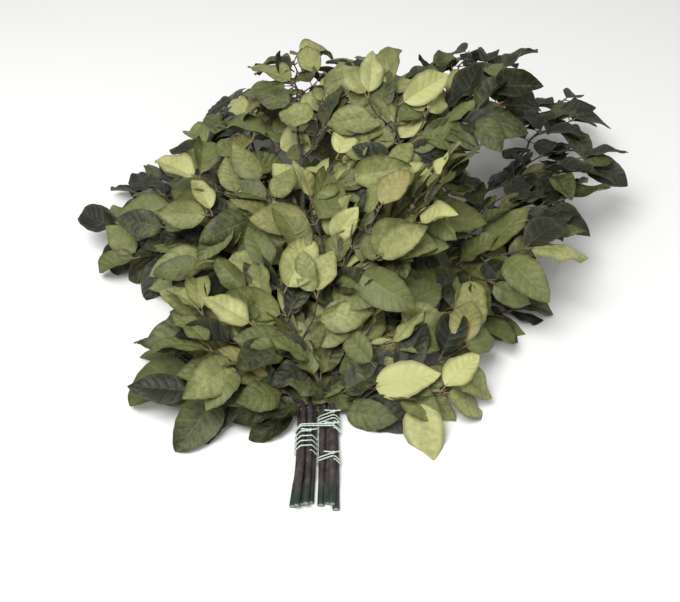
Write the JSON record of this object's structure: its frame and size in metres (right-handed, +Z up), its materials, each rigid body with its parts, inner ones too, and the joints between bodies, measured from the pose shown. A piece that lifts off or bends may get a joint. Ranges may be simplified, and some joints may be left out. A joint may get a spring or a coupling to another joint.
{
  "type": "bunch of preserved beech branches",
  "caption": "Tied bunch of preserved beech branches with olive green leaves, fanned out and lying flat, used as dried foliage for decoration.",
  "frame": {"origin": "bottom centre of the bounding box, on the surface the bunch lies on", "axes": "+Y along the bunch from the cut ends to the leaf tips, +X to the right seen from the cut ends, +Z up"},
  "size_m": [0.7135, 0.7794, 0.2258],
  "materials": {
    "leaf": "dull, slightly waxy olive green leaf",
    "bark": "matt dark grey-brown bark",
    "twine": "matt pale mint twisted twine"
  },
  "bodies": {
    "root": {"spray_01a": "leaf", "spray_01b": "leaf", "spray_01c": "leaf", "spray_02a": "leaf", "spray_02b": "leaf", "spray_02c": "leaf", "spray_02d": "leaf", "spray_02e": "leaf", "spray_03a": "leaf", "spray_03b": "leaf", "spray_03c": "leaf", "spray_03d": "leaf", "spray_03e": "leaf", "spray_04a": "leaf", "spray_04b": "leaf", "spray_04c": "leaf", "spray_04d": "leaf", "spray_05a": "leaf", "spray_05b": "leaf", "spray_05c": "leaf", "spray_05d": "leaf", "spray_05e": "leaf", "spray_05f": "leaf", "spray_06a": "leaf", "spray_06b": "leaf", "spray_06c": "leaf", "spray_06d": "leaf", "spray_06e": "leaf", "spray_07a": "leaf", "spray_07b": "leaf", "spray_07c": "leaf", "spray_07d": "leaf", "spray_07e": "leaf", "spray_07f": "leaf", "spray_08a": "leaf", "spray_08b": "leaf", "spray_08c": "leaf", "spray_09a": "leaf", "spray_09b": "leaf", "spray_09c": "leaf", "spray_09d": "leaf", "spray_09e": "leaf", "spray_09f": "leaf", "stem_01": "bark", "stem_02": "bark", "stem_03": "bark", "stem_04": "bark", "stem_05": "bark", "stem_06": "bark", "stem_07": "bark", "stem_08": "bark", "stem_09": "bark", "tie_both": "twine", "tie_left": "twine", "tie_right": "twine", "tie_right_upper": "twine"}
  },
  "joints": []
}
